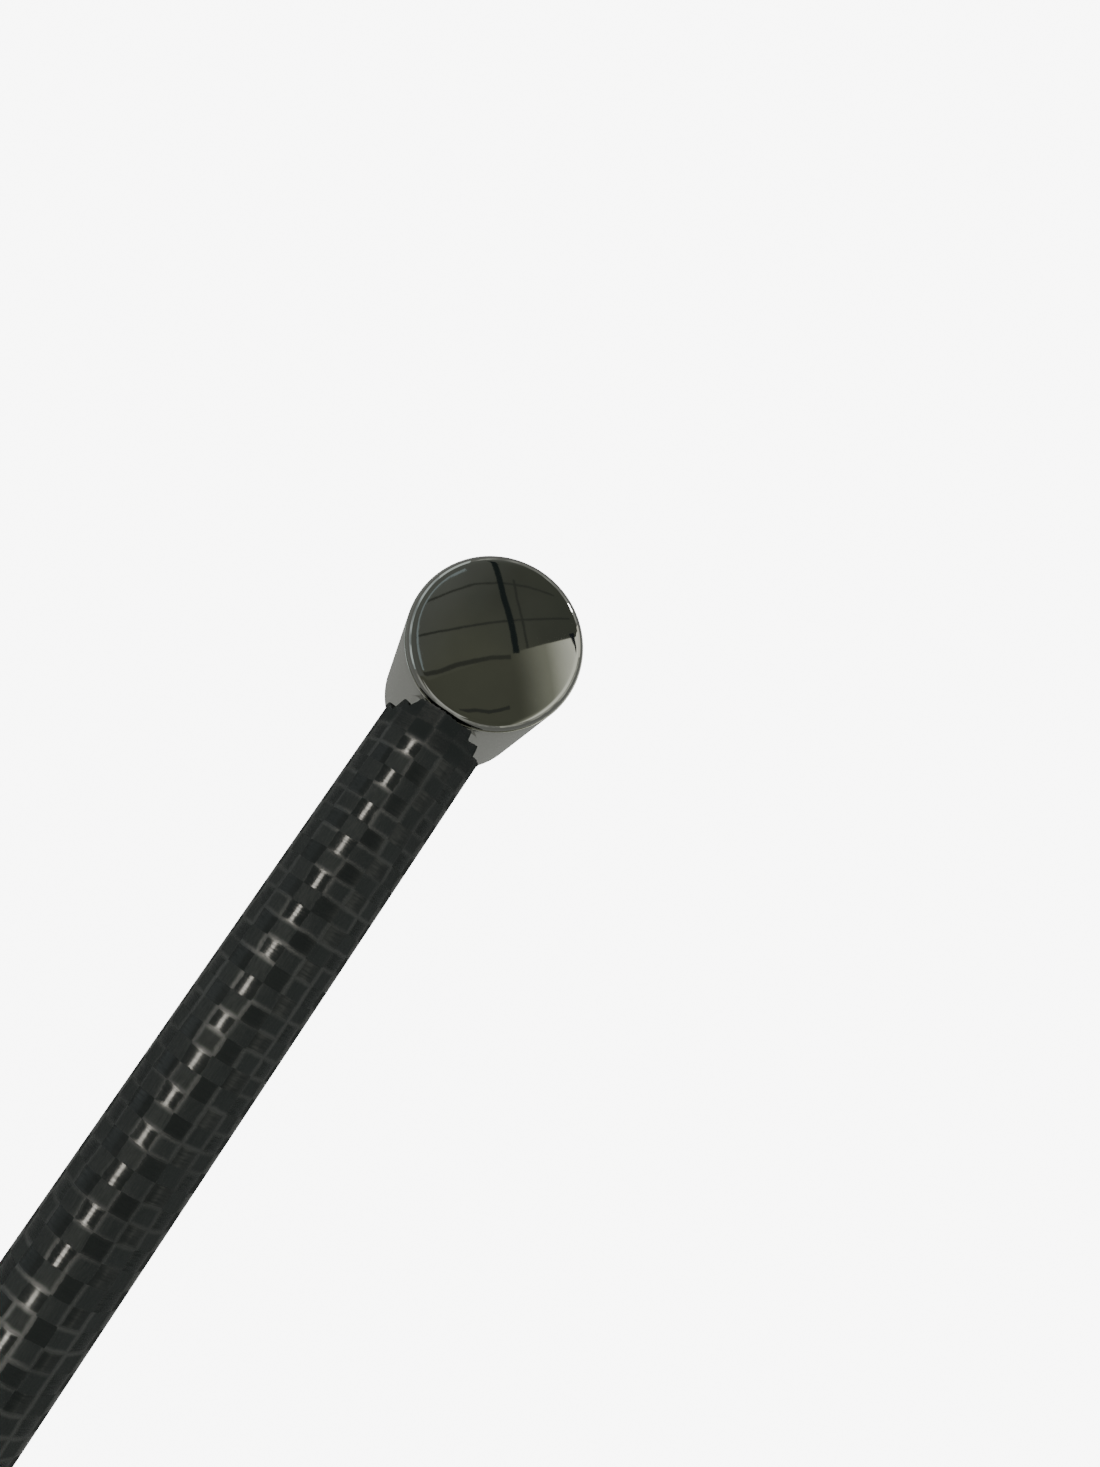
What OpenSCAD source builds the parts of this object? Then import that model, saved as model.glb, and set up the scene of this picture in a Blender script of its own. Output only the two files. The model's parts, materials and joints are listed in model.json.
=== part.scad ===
// Curling broom, laid down with its pad flat on the ice.
// Frame: origin at the centre of the sole, +Z up, +X along the handle towards the end knob.
// The head's hinge lies along Y, and the handle's axis is level at axis_h.

/* [Handle] */
// Outer diameter of the woven carbon tube
tube_d = 25.4; // [24.8:0.2:25.8]
// Wall thickness of the tube
tube_wall = 1.3; // [1:0.1:1.4]
// Distance from the head hinge to the axis of the end knob
reach = 1165; // [900:5:1250]
// Height of the handle's axis, and of the hinge, above the floor
axis_h = 64; // [62:0.5:68]

/* [End knob] */
// Diameter of the polished knob
knob_d = 42; // [41:0.5:46]
// Wall of the hollow knob
knob_wall = 2.5; // [2:0.25:2.75]
// Height of the knob's face edge above the handle's axis
face_rise = 13.6; // [13:0.1:14]
// Radius of the rounded edge of the face
face_edge_r = 2.5; // [2:0.25:2.5]
// Angle of the domed face where it meets the rounded edge
dome_angle = 11; // [6:1:14]

/* [Pad] */
// Length of the covered pad, along the hinge
pad_l = 200; // [196:1:205]
// Width of the covered pad, along the handle
pad_w = 68; // [66:1:72]
// Corner radius of the covered pad
pad_corner_r = 26; // [25:0.5:27]
// Thickness of the foam
foam_t = 16; // [12:1:17]
// Thickness of the fabric cover
cover_t = 1; // [0.8:0.1:1]

/* [Head] */
// Height of the moulded base from its rim to its deck
base_h = 12; // [11:0.5:13]
// Height of the raised crown that carries the hinge bracket
crown_h = 5; // [4:0.5:6]
// Radius of the hinge pin
pin_r = 4; // [3.5:0.25:4.25]

/* [Hidden] */
$fn = 96;
fine = 128;
hex = 6;
eps = 0.01;
past = 1;
run_gap = 0.05;
free_gap = 0.3;

// Woven tube.
tube_r = tube_d / 2;
bore_r = tube_r - tube_wall;

// Pad, from the floor up.
plate_t = 3.5;
frame_t = 2;
plate_z = cover_t + foam_t;
lip_z = plate_z + plate_t;
frame_z = lip_z + cover_t;
base_z = frame_z + frame_t;
lip_w = 9;
frame_inset = 1;
frame_w = 7;

// Moulded base and its crown.
deck_z = base_z + base_h;
crown_z = deck_z + crown_h;
base_wall = 3;
base_l = pad_l - 6;
base_w = pad_w - 6;
base_corner_r = pad_corner_r - 2;
base_chamfer = 2.5;
crown_l = 128;
crown_w = 50;
crown_corner_r = 20;
crown_chamfer = 2;
rib_t = 2.5;
rib_inset = 0.5;
rib_drop = 1;
cross_rib_y = [-58, -34, 34, 58];
long_rib_x = 12;
core_l = 54;
core_w = 44;
groove_y = [80, 83.5, 87];
groove_w = 1.4;
groove_l = 26;
groove_d = 0.8;

// Screws that hold the pad.
pad_screw_xy = [15, 74];
pad_screw_r = 2;
pad_screw_head_r = 3.8;
pad_screw_head_t = 2;
pad_screw_tip = 0.5;
recess_r = 4.4;
recess_d = 2.5;
boss_r = 6;
key_r = 1.5;
key_d = 1.2;

// Hinge bracket and its screws.
bracket_t = 4;
bracket_top = crown_z + bracket_t;
bracket_l = 54;
bracket_w = 40;
bracket_corner_r = 7;
bracket_chamfer = 1;
ear_in = 7.2;
ear_t = 8;
ear_out = ear_in + ear_t;
ear_r = 11;
ear_foot = 15;
bracket_screw_xy = [13, 21];
bracket_screw_r = 2;
bracket_hole_r = 2.2;
bracket_sink_r = 4.3;
bracket_sink_d = 2;
bracket_head_r = 3.9;
bracket_head_t = 1.9;
insert_r = 3.2;
insert_l = 8;
insert_floor = 1;

// Hinge pin and what is on it.
washer_t = 1;
washer_r = 8;
pin_head_r = 7;
pin_head_t = 4.5;
pin_key_r = 2.9;
pin_key_d = 2.5;
nut_r = 7.5;
nut_t = 6.5;
pin_tip = 1;
side_ring_t = 0.9;
side_ring_r = 9;

// Swivel joint between the head and the handle, as distances from the hinge.
tongue_half = 6.2;
tongue_r = 10;
tongue_bar_half = 8;
bush_r = 6;
flange_x = 16;
flange_t = 3;
flange_r = 13;
stem_r = 6;
stem_end = 50;
stem_bore_l = 20;
swivel_washer_t = 1;
swivel_washer_r = 12.5;
sleeve_wall = 1.5;
retainer_t = 1.5;
retainer_r = 8.8;
bumper_x = 1.2;
bumper_w = 3.4;
bumper_l = 10;

// Cap screws: the swivel's and the knob's.
bolt_r = 3;
bolt_head_r = 5;
bolt_head_t = 5;
bolt_key_r = 2.5;
bolt_key_d = 3;

// Ferrule.
ferrule_x = flange_x + flange_t + swivel_washer_t + run_gap;
collar_r = tube_r + 1.5;
collar_l = 24;
collar_edge = 0.8;
collar_grooves = [6, 9.5, 13];
collar_groove_w = 1.6;
collar_groove_d = 0.6;
tube_x = ferrule_x + collar_l;
spigot_l = 40;
cavity_r = 9.1;
ferrule_screw_x = tube_x + 18;
ferrule_screw_r = 2;
ferrule_head_r = 3.6;
ferrule_head_tip_r = 2.6;
ferrule_head_t = 1.8;
ferrule_key_r = 1.3;
ferrule_key_z = 0.6;

// End knob.
knob_r = knob_d / 2;
knob_bore_r = knob_r - knob_wall;
far_edge_r = 1.5;
face_z = axis_h + face_rise;
cap_step = 0.35;
cap_band = 0.2;
seam_z = face_z - face_edge_r - cap_band;
cap_rim_r = knob_r - cap_step;
edge_centre_r = cap_rim_r - face_edge_r;
dome_r = edge_centre_r / sin(dome_angle) + face_edge_r;
dome_centre_z = face_z - face_edge_r - (dome_r - face_edge_r) * cos(dome_angle);
dome_room = 20;
cap_plug_l = 2.5;
cap_skin = 2;
foot_t = 2.5;
foot_plug_l = 6;
foot_r = knob_r - 1.8;
foot_edge = 0.6;
tube_gap = 0.2;
tube_end = reach - knob_r - tube_gap;
plug_l = 46;
plug_setback = 4;
nose_r = 6.5;
neck_r = nose_r + 2.5;
knob_washer_r = nose_r + 2;
knob_washer_t = 2;
nose_end = reach - sqrt(pow(knob_bore_r, 2) - pow(knob_washer_r + 0.1, 2));
knob_bolt_l = 36;

// ---- helpers ----

module four_corners(xy) {
    for (x = [-1, 1], y = [-1, 1])
        translate([x * xy[0], y * xy[1], 0]) children();
}

// A rectangle with true round corners, long side along Y.
module round_rect(l, w, r) {
    square([w - 2 * r, l], center = true);
    square([w, l - 2 * r], center = true);
    four_corners([w / 2 - r, l / 2 - r]) circle(r);
}

module slab(z, h, l, w, r) {
    translate([0, 0, z])
        linear_extrude(h) round_rect(l, w, r);
}

// A slab whose top edge is chamfered by e.
module chamfered_slab(z, h, l, w, r, e) {
    slab(z, h - e, l, w, r);
    translate([0, 0, z + h - e]) {
        four_corners([w / 2 - r, l / 2 - r]) cylinder(r1 = r, r2 = r - e, h = e);
        chamfered_bar(w, l - 2 * r, e);
        rotate([0, 0, 90]) chamfered_bar(l, w - 2 * r, e);
    }
}

// The straight part of a chamfered edge, w wide at its foot and l long.
module chamfered_bar(w, l, e) {
    rotate([90, 0, 0]) linear_extrude(l, center = true)
        polygon([[-w / 2, 0], [w / 2, 0], [w / 2 - e, e], [-w / 2 + e, e]]);
}

module ring(r_out, r_in, h) {
    difference() {
        cylinder(r = r_out, h = h);
        translate([0, 0, -past]) cylinder(r = r_in, h = h + 2 * past);
    }
}

// Children drawn along +Z are laid along the handle, starting x from the hinge.
module along_handle(x) {
    translate([x, 0, axis_h]) rotate([0, 90, 0]) children();
}

// Children drawn along +Z are laid along the hinge, starting at y.
module along_hinge(y) {
    translate([0, y, axis_h]) rotate([-90, 0, 0]) children();
}

// A cap screw whose head sits on z = 0 and whose shank runs down.
module cap_screw(l) {
    difference() {
        union() {
            translate([0, 0, -l]) cylinder(r = bolt_r, h = l);
            cylinder(r = bolt_head_r, h = bolt_head_t);
        }
        translate([0, 0, bolt_head_t - bolt_key_d])
            cylinder(r = bolt_key_r, h = bolt_key_d + past, $fn = hex);
    }
}

// ---- pad ----

module pad_cover() color("dimgray") difference() {
    slab(0, frame_z, pad_l, pad_w, pad_corner_r);
    slab(cover_t, lip_z - cover_t, pad_l - 2 * cover_t, pad_w - 2 * cover_t, pad_corner_r - cover_t);
    slab(lip_z - past, cover_t + 2 * past, pad_l - 2 * lip_w, pad_w - 2 * lip_w, pad_corner_r - lip_w);
}

module pad_foam() color("khaki")
    slab(cover_t, foam_t, pad_l - 2 * cover_t, pad_w - 2 * cover_t, pad_corner_r - cover_t);

module pad_plate() color("darkslategray") difference() {
    slab(plate_z, plate_t, pad_l - 2 * cover_t, pad_w - 2 * cover_t, pad_corner_r - cover_t);
    four_corners(pad_screw_xy)
        translate([0, 0, plate_z + pad_screw_tip]) cylinder(r = pad_screw_r, h = plate_t);
}

// The ring that traps the cover's hem between the base and the plate.
module clamp_frame() color("black") difference() {
    slab(frame_z, frame_t, base_l - 2 * frame_inset, base_w - 2 * frame_inset, base_corner_r - frame_inset);
    slab(frame_z - past, frame_t + 2 * past, base_l - 2 * (frame_inset + frame_w),
        base_w - 2 * (frame_inset + frame_w), base_corner_r - frame_inset - frame_w);
}

// ---- head ----

module base_ribs() {
    rib_h = base_h - rib_drop;
    for (y = cross_rib_y)
        translate([-base_w / 2, y - rib_t / 2, base_z]) cube([base_w, rib_t, rib_h]);
    for (x = [-long_rib_x, long_rib_x])
        translate([x - rib_t / 2, -base_l / 2, base_z]) cube([rib_t, base_l, rib_h]);
}

module base_body() {
    difference() {
        chamfered_slab(base_z, base_h, base_l, base_w, base_corner_r, base_chamfer);
        slab(base_z - past, base_h - base_wall + past, base_l - 2 * base_wall, base_w - 2 * base_wall,
            base_corner_r - base_wall);
    }
    chamfered_slab(deck_z - base_wall, crown_h + base_wall, crown_l, crown_w, crown_corner_r, crown_chamfer);
    intersection() {
        slab(base_z, base_h, base_l - 2 * rib_inset, base_w - 2 * rib_inset, base_corner_r - rib_inset);
        base_ribs();
    }
    translate([-core_w / 2, -core_l / 2, base_z]) cube([core_w, core_l, base_h]);
    four_corners(pad_screw_xy)
        translate([0, 0, lip_z]) cylinder(r = boss_r, h = deck_z - lip_z - eps);
}

module head_base() color([0.09, 0.09, 0.1]) difference() {
    base_body();
    four_corners(pad_screw_xy) {
        translate([0, 0, lip_z - past]) cylinder(r = pad_screw_r, h = deck_z - lip_z);
        translate([0, 0, deck_z - recess_d]) cylinder(r = recess_r, h = recess_d + past);
    }
    four_corners(bracket_screw_xy)
        translate([0, 0, crown_z - insert_l]) cylinder(r = insert_r, h = insert_l + past);
    for (s = [-1, 1], y = groove_y)
        translate([-groove_l / 2, s * y - groove_w / 2, deck_z - groove_d])
            cube([groove_l, groove_w, groove_d + past]);
}

module pad_screws() color("silver") four_corners(pad_screw_xy) difference() {
    union() {
        translate([0, 0, plate_z + pad_screw_tip])
            cylinder(r = pad_screw_r, h = deck_z - recess_d - plate_z - pad_screw_tip);
        translate([0, 0, deck_z - recess_d]) cylinder(r = pad_screw_head_r, h = pad_screw_head_t);
    }
    translate([0, 0, deck_z - recess_d + pad_screw_head_t - key_d])
        cylinder(r = key_r, h = key_d + past, $fn = hex);
}

module screw_inserts() color("goldenrod") four_corners(bracket_screw_xy)
    translate([0, 0, crown_z - insert_l]) ring(insert_r, bracket_screw_r, insert_l);

// One ear of the clevis, drawn in its own plane with the hinge at the origin.
module ear_profile() {
    foot_y = bracket_top - axis_h - eps;
    circle(ear_r);
    polygon([[-ear_r, 0], [ear_r, 0], [ear_foot, foot_y], [-ear_foot, foot_y]]);
}

module pivot_bracket() color("dimgray") difference() {
    union() {
        chamfered_slab(crown_z, bracket_t, bracket_l, bracket_w, bracket_corner_r, bracket_chamfer);
        for (s = [-1, 1])
            translate([0, s * (ear_in + ear_t / 2), axis_h]) rotate([90, 0, 0])
                linear_extrude(ear_t, center = true) ear_profile();
    }
    along_hinge(-ear_out - past) cylinder(r = pin_r, h = 2 * (ear_out + past));
    four_corners(bracket_screw_xy) {
        translate([0, 0, crown_z - past]) cylinder(r = bracket_hole_r, h = bracket_t + 2 * past);
        translate([0, 0, bracket_top - bracket_sink_d])
            cylinder(r1 = bracket_hole_r, r2 = bracket_sink_r, h = bracket_sink_d + eps);
    }
}

module bracket_screws() color("silver") four_corners(bracket_screw_xy) difference() {
    union() {
        translate([0, 0, crown_z - insert_l + insert_floor])
            cylinder(r = bracket_screw_r, h = insert_l - insert_floor + bracket_t - bracket_head_t + eps);
        translate([0, 0, bracket_top - bracket_head_t])
            cylinder(r1 = bracket_screw_r, r2 = bracket_head_r, h = bracket_head_t);
    }
    translate([0, 0, bracket_top - key_d]) cylinder(r = key_r, h = key_d + past, $fn = hex);
}

// Rubber blocks under the swivel flange where the handle folds flat, one for each side.
module fold_bumpers() color("black") for (s = [-1, 1])
    translate([s * (flange_x + bumper_x) - bumper_w / 2, -bumper_l / 2, bracket_top])
        cube([bumper_w, bumper_l, axis_h - flange_r - free_gap - bracket_top]);

module hinge_pin() color("silver") difference() {
    union() {
        along_hinge(-ear_out - washer_t) cylinder(r = pin_r, h = 2 * (ear_out + washer_t) + nut_t + pin_tip);
        along_hinge(-ear_out - washer_t - pin_head_t) cylinder(r = pin_head_r, h = pin_head_t);
    }
    along_hinge(-ear_out - washer_t - pin_head_t - past)
        cylinder(r = pin_key_r, h = pin_key_d + past, $fn = hex);
}

module hinge_nut() color("silver") along_hinge(ear_out + washer_t) difference() {
    cylinder(r = nut_r, h = nut_t, $fn = hex);
    translate([0, 0, -past]) cylinder(r = pin_r, h = nut_t + 2 * past);
}

module hinge_washers() color("silver") for (y = [-ear_out - washer_t, ear_out])
    along_hinge(y) ring(washer_r, pin_r, washer_t);

module side_rings() color("white") for (y = [-tongue_half - side_ring_t - run_gap, tongue_half + run_gap])
    along_hinge(y) ring(side_ring_r, pin_r, side_ring_t);

// ---- swivel joint ----

module pivot_block() color("gray") difference() {
    union() {
        along_hinge(-tongue_half) cylinder(r = tongue_r, h = 2 * tongue_half);
        translate([0, -tongue_half, axis_h - tongue_bar_half])
            cube([flange_x + past, 2 * tongue_half, 2 * tongue_bar_half]);
        along_handle(flange_x) cylinder(r = flange_r, h = flange_t);
        along_handle(flange_x) cylinder(r = stem_r, h = stem_end - flange_x);
    }
    along_hinge(-tongue_half - past) cylinder(r = bush_r, h = 2 * (tongue_half + past));
    along_handle(stem_end - stem_bore_l) cylinder(r = bolt_r, h = stem_bore_l + past);
}

module pivot_bush() color("ivory") along_hinge(-tongue_half)
    ring(bush_r, pin_r + run_gap, 2 * tongue_half);

module swivel_washer() color("ivory") along_handle(flange_x + flange_t)
    ring(swivel_washer_r, stem_r, swivel_washer_t);

module swivel_retainer() color("silver") along_handle(stem_end)
    ring(retainer_r, bolt_r, retainer_t);

module swivel_bolt() color("silver") along_handle(stem_end + retainer_t)
    cap_screw(stem_bore_l + retainer_t);

// Children drawn along +Z point out of the tube on each side, from the spigot's cavity.
module across_spigot() {
    for (s = [-1, 1])
        translate([ferrule_screw_x, s * cavity_r, axis_h]) rotate([-s * 90, 0, 0]) children();
}

module ferrule() color("silver") difference() {
    union() {
        along_handle(ferrule_x)
            cylinder(r1 = collar_r - collar_edge, r2 = collar_r, h = collar_edge);
        along_handle(ferrule_x + collar_edge) cylinder(r = collar_r, h = collar_l - 2 * collar_edge);
        along_handle(tube_x - collar_edge)
            cylinder(r1 = collar_r, r2 = collar_r - collar_edge, h = collar_edge);
        along_handle(tube_x - collar_edge) cylinder(r = bore_r - run_gap, h = spigot_l + collar_edge);
    }
    along_handle(ferrule_x - past)
        cylinder(r = stem_r + sleeve_wall, h = stem_end - ferrule_x + past - run_gap);
    along_handle(stem_end - 2 * run_gap) cylinder(r = cavity_r, h = tube_x + spigot_l - stem_end + past);
    for (g = collar_grooves)
        along_handle(ferrule_x + g) ring(collar_r + past, collar_r - collar_groove_d, collar_groove_w);
    across_spigot() translate([0, 0, -past]) cylinder(r = ferrule_screw_r, h = bore_r);
}

module swivel_sleeve() color("ivory") along_handle(ferrule_x)
    ring(stem_r + sleeve_wall, stem_r + run_gap, stem_end - ferrule_x - 2 * run_gap);

module ferrule_screws() color("silver") across_spigot() difference() {
    seat = tube_r - cavity_r;
    union() {
        cylinder(r = ferrule_screw_r, h = seat + eps);
        translate([0, 0, seat]) cylinder(r1 = ferrule_head_r, r2 = ferrule_head_tip_r, h = ferrule_head_t);
    }
    translate([0, 0, seat + ferrule_key_z]) cylinder(r = ferrule_key_r, h = ferrule_head_t, $fn = hex);
}

// ---- handle ----

// The tube, with a flat spot milled under each ferrule screw's head.
module handle_tube() color([0.13, 0.14, 0.14]) difference() {
    along_handle(tube_x) ring(tube_r, bore_r, tube_end - tube_x);
    across_spigot() {
        cylinder(r = ferrule_screw_r, h = tube_r);
        translate([0, 0, tube_r - cavity_r]) cylinder(r = ferrule_head_r, h = ferrule_head_t);
    }
}

// ---- end knob ----

module knob_plug() color("silver") difference() {
    union() {
        along_handle(tube_end - plug_setback - plug_l) cylinder(r = bore_r - run_gap, h = plug_l);
        difference() {
            along_handle(tube_end - plug_setback - eps) cylinder(r = neck_r, h = knob_r);
            translate([reach, 0, 0]) cylinder(r = knob_r, h = face_z);
        }
        along_handle(tube_end - eps) cylinder(r = nose_r, h = nose_end - tube_end + eps);
    }
    along_handle(nose_end - knob_bolt_l + knob_washer_t) cylinder(r = bolt_r, h = knob_bolt_l);
}

module knob_washer() color("silver") along_handle(nose_end)
    ring(knob_washer_r, bolt_r, knob_washer_t);

module knob_bolt() color("silver") along_handle(nose_end + knob_washer_t)
    cap_screw(knob_bolt_l);

module knob_shell() color([0.75, 0.76, 0.75]) difference() {
    translate([reach, 0, foot_t]) {
        translate([0, 0, far_edge_r]) cylinder(r = knob_r, h = seam_z - foot_t - far_edge_r, $fn = fine);
        cylinder(r = knob_r - far_edge_r, h = seam_z - foot_t);
        translate([0, 0, far_edge_r]) rotate_extrude($fn = fine)
            translate([knob_r - far_edge_r, 0]) circle(far_edge_r);
    }
    translate([reach, 0, 0]) cylinder(r = knob_bore_r, h = face_z);
    along_handle(reach - knob_r - past) cylinder(r = nose_r, h = knob_r);
}

// The rounded rim and the shallow dome of the face, above the seam.
module cap_face() {
    translate([0, 0, seam_z]) cylinder(r = cap_rim_r, h = cap_band, $fn = fine);
    translate([0, 0, seam_z]) cylinder(r = edge_centre_r, h = face_z - seam_z);
    difference() {
        translate([0, 0, face_z - face_edge_r]) rotate_extrude($fn = fine)
            translate([edge_centre_r, 0]) circle(face_edge_r);
        translate([0, 0, seam_z - dome_room]) cylinder(r = knob_r, h = dome_room);
    }
    intersection() {
        translate([0, 0, dome_centre_z]) sphere(dome_r, $fn = fine);
        translate([0, 0, seam_z]) cylinder(r = edge_centre_r + face_edge_r * sin(dome_angle), h = dome_room);
    }
}

module knob_cap() color([0.75, 0.76, 0.75]) translate([reach, 0, 0]) difference() {
    union() {
        translate([0, 0, seam_z - cap_plug_l]) cylinder(r = knob_bore_r - run_gap, h = cap_plug_l + cap_band);
        cap_face();
    }
    translate([0, 0, seam_z - cap_plug_l - past]) cylinder(r = knob_bore_r - cap_skin, h = cap_plug_l + past);
}

module knob_foot() color("black") translate([reach, 0, 0]) {
    cylinder(r1 = foot_r - foot_edge, r2 = foot_r, h = foot_edge);
    translate([0, 0, foot_edge]) cylinder(r = foot_r, h = foot_t - foot_edge);
    cylinder(r = knob_bore_r - run_gap, h = foot_t + foot_plug_l);
}

pad_cover();
pad_foam();
pad_plate();
clamp_frame();
head_base();
pad_screws();
screw_inserts();
pivot_bracket();
bracket_screws();
fold_bumpers();
hinge_pin();
hinge_nut();
hinge_washers();
side_rings();
pivot_block();
pivot_bush();
swivel_washer();
swivel_retainer();
swivel_bolt();
ferrule();
swivel_sleeve();
ferrule_screws();
handle_tube();
knob_plug();
knob_washer();
knob_bolt();
knob_shell();
knob_cap();
knob_foot();
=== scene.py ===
import json
import math

import bmesh
import bpy
from mathutils import Matrix, Vector


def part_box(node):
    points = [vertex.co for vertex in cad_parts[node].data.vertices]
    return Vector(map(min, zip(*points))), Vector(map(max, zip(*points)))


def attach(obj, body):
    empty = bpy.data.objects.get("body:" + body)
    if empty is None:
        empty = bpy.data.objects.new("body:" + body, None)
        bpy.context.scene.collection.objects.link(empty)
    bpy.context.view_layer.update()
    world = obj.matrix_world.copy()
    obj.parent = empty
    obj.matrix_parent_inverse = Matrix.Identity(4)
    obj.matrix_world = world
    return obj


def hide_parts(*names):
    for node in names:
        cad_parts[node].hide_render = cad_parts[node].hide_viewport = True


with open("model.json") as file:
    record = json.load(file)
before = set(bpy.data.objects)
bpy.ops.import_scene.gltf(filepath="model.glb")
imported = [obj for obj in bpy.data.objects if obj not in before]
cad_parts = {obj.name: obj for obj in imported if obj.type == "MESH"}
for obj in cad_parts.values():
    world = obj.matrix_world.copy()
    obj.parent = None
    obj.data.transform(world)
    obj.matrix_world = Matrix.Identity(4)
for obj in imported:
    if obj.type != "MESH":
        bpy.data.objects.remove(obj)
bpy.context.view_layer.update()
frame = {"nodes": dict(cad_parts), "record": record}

MM = 0.001

# Sizes of the CAD model, in metres, from its nodes' boxes.
TUBE_LOW, TUBE_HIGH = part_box("handle_tube")
CAP_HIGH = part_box("knob_cap")[1]
SHELL_LOW, SHELL_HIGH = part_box("knob_shell")
PAD_LOW, PAD_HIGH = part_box("pad_cover")
TUBE_R = (TUBE_HIGH[1] - TUBE_LOW[1]) / 2
AXIS_Z = (TUBE_HIGH[2] + TUBE_LOW[2]) / 2
KNOB_X = (SHELL_HIGH[0] + SHELL_LOW[0]) / 2
KNOB_R = (SHELL_HIGH[1] - SHELL_LOW[1]) / 2


# ---------------------------------------------------------------- node helpers

class Graph:
    """Builds one material's nodes. Values may be numbers or sockets."""

    def __init__(self, name):
        self.material = bpy.data.materials.new(name)
        self.material.use_nodes = True
        self.tree = self.material.node_tree
        self.tree.nodes.clear()
        self.out = self.tree.nodes.new("ShaderNodeOutputMaterial")
        self.bsdf = self.tree.nodes.new("ShaderNodeBsdfPrincipled")
        self.tree.links.new(self.bsdf.outputs[0], self.out.inputs[0])

    def put(self, socket, value):
        if isinstance(value, bpy.types.NodeSocket):
            self.tree.links.new(value, socket)
        elif hasattr(socket.default_value, "__len__") and not hasattr(value, "__len__"):
            socket.default_value = [value] * len(socket.default_value)
        elif hasattr(value, "__len__") and len(socket.default_value) == 4 and len(value) == 3:
            socket.default_value = (*value, 1.0)
        else:
            socket.default_value = value

    def node(self, kind, inputs=(), **props):
        made = self.tree.nodes.new("ShaderNode" + kind)
        for key, value in props.items():
            setattr(made, key, value)
        for key, value in dict(inputs).items():
            self.put(made.inputs[key], value)
        return made

    def math(self, op, a, b=0.0, c=0.0, clamp=False):
        made = self.node("Math", operation=op, use_clamp=clamp)
        for slot, value in zip(made.inputs, (a, b, c)):
            self.put(slot, value)
        return made.outputs[0]

    def coords(self, kind="Object"):
        return self.node("TexCoord").outputs[kind]

    def split(self, vector):
        made = self.node("SeparateXYZ", {"Vector": vector})
        return made.outputs[0], made.outputs[1], made.outputs[2]

    def join(self, x, y, z):
        return self.node("CombineXYZ", {"X": x, "Y": y, "Z": z}).outputs[0]

    def noise(self, vector, scale, detail=3.0, rough=0.55, distortion=0.0):
        return self.node("TexNoise", {"Vector": vector, "Scale": scale, "Detail": detail, "Roughness": rough,
                                      "Distortion": distortion}).outputs[0]

    def stretched(self, vector, factors):
        return self.node("Mapping", {"Vector": vector, "Scale": factors}).outputs[0]

    def ramp(self, value, low, high, to_low=0.0, to_high=1.0):
        return self.node("MapRange", {"Value": value, "From Min": low, "From Max": high, "To Min": to_low,
                                      "To Max": to_high}, clamp=True).outputs[0]

    def smooth(self, value, low, high, to_low=0.0, to_high=1.0):
        return self.node("MapRange", {"Value": value, "From Min": low, "From Max": high, "To Min": to_low,
                                      "To Max": to_high}, clamp=True, interpolation_type="SMOOTHSTEP").outputs[0]

    def mix(self, factor, a, b):
        made = self.node("Mix", data_type="RGBA")
        self.put(made.inputs[0], factor)
        self.put(made.inputs[6], a)
        self.put(made.inputs[7], b)
        return made.outputs[2]

    def bump(self, height, distance, strength=1.0, normal=None):
        made = self.node("Bump", {"Height": height, "Distance": distance, "Strength": strength})
        if normal is not None:
            self.put(made.inputs["Normal"], normal)
        return made.outputs[0]

    def soft_edges(self, radius):
        return self.node("Bevel", {"Radius": radius}, samples=4).outputs[0]

    def edge_mask(self, radius):
        """About 1 on edges and 0 on flat faces."""
        round_normal = self.soft_edges(radius)
        flat = self.node("NewGeometry").outputs["Normal"]
        dot = self.node("VectorMath", {0: round_normal, 1: flat}, operation="DOT_PRODUCT").outputs["Value"]
        return self.smooth(dot, 0.995, 0.90)

    def finish(self, **values):
        for key, value in values.items():
            self.put(self.bsdf.inputs[key.replace("_", " ")], value)
        return self.material


# ---------------------------------------------------------------- materials

# The weave: a cell's length along the tube, the yarns round it, and where the counting starts, in cells.
AXIAL_CELL = 4.375 * MM
CELLS_ROUND = 16
WEAVE_START = (1.37, 0.10)


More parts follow.
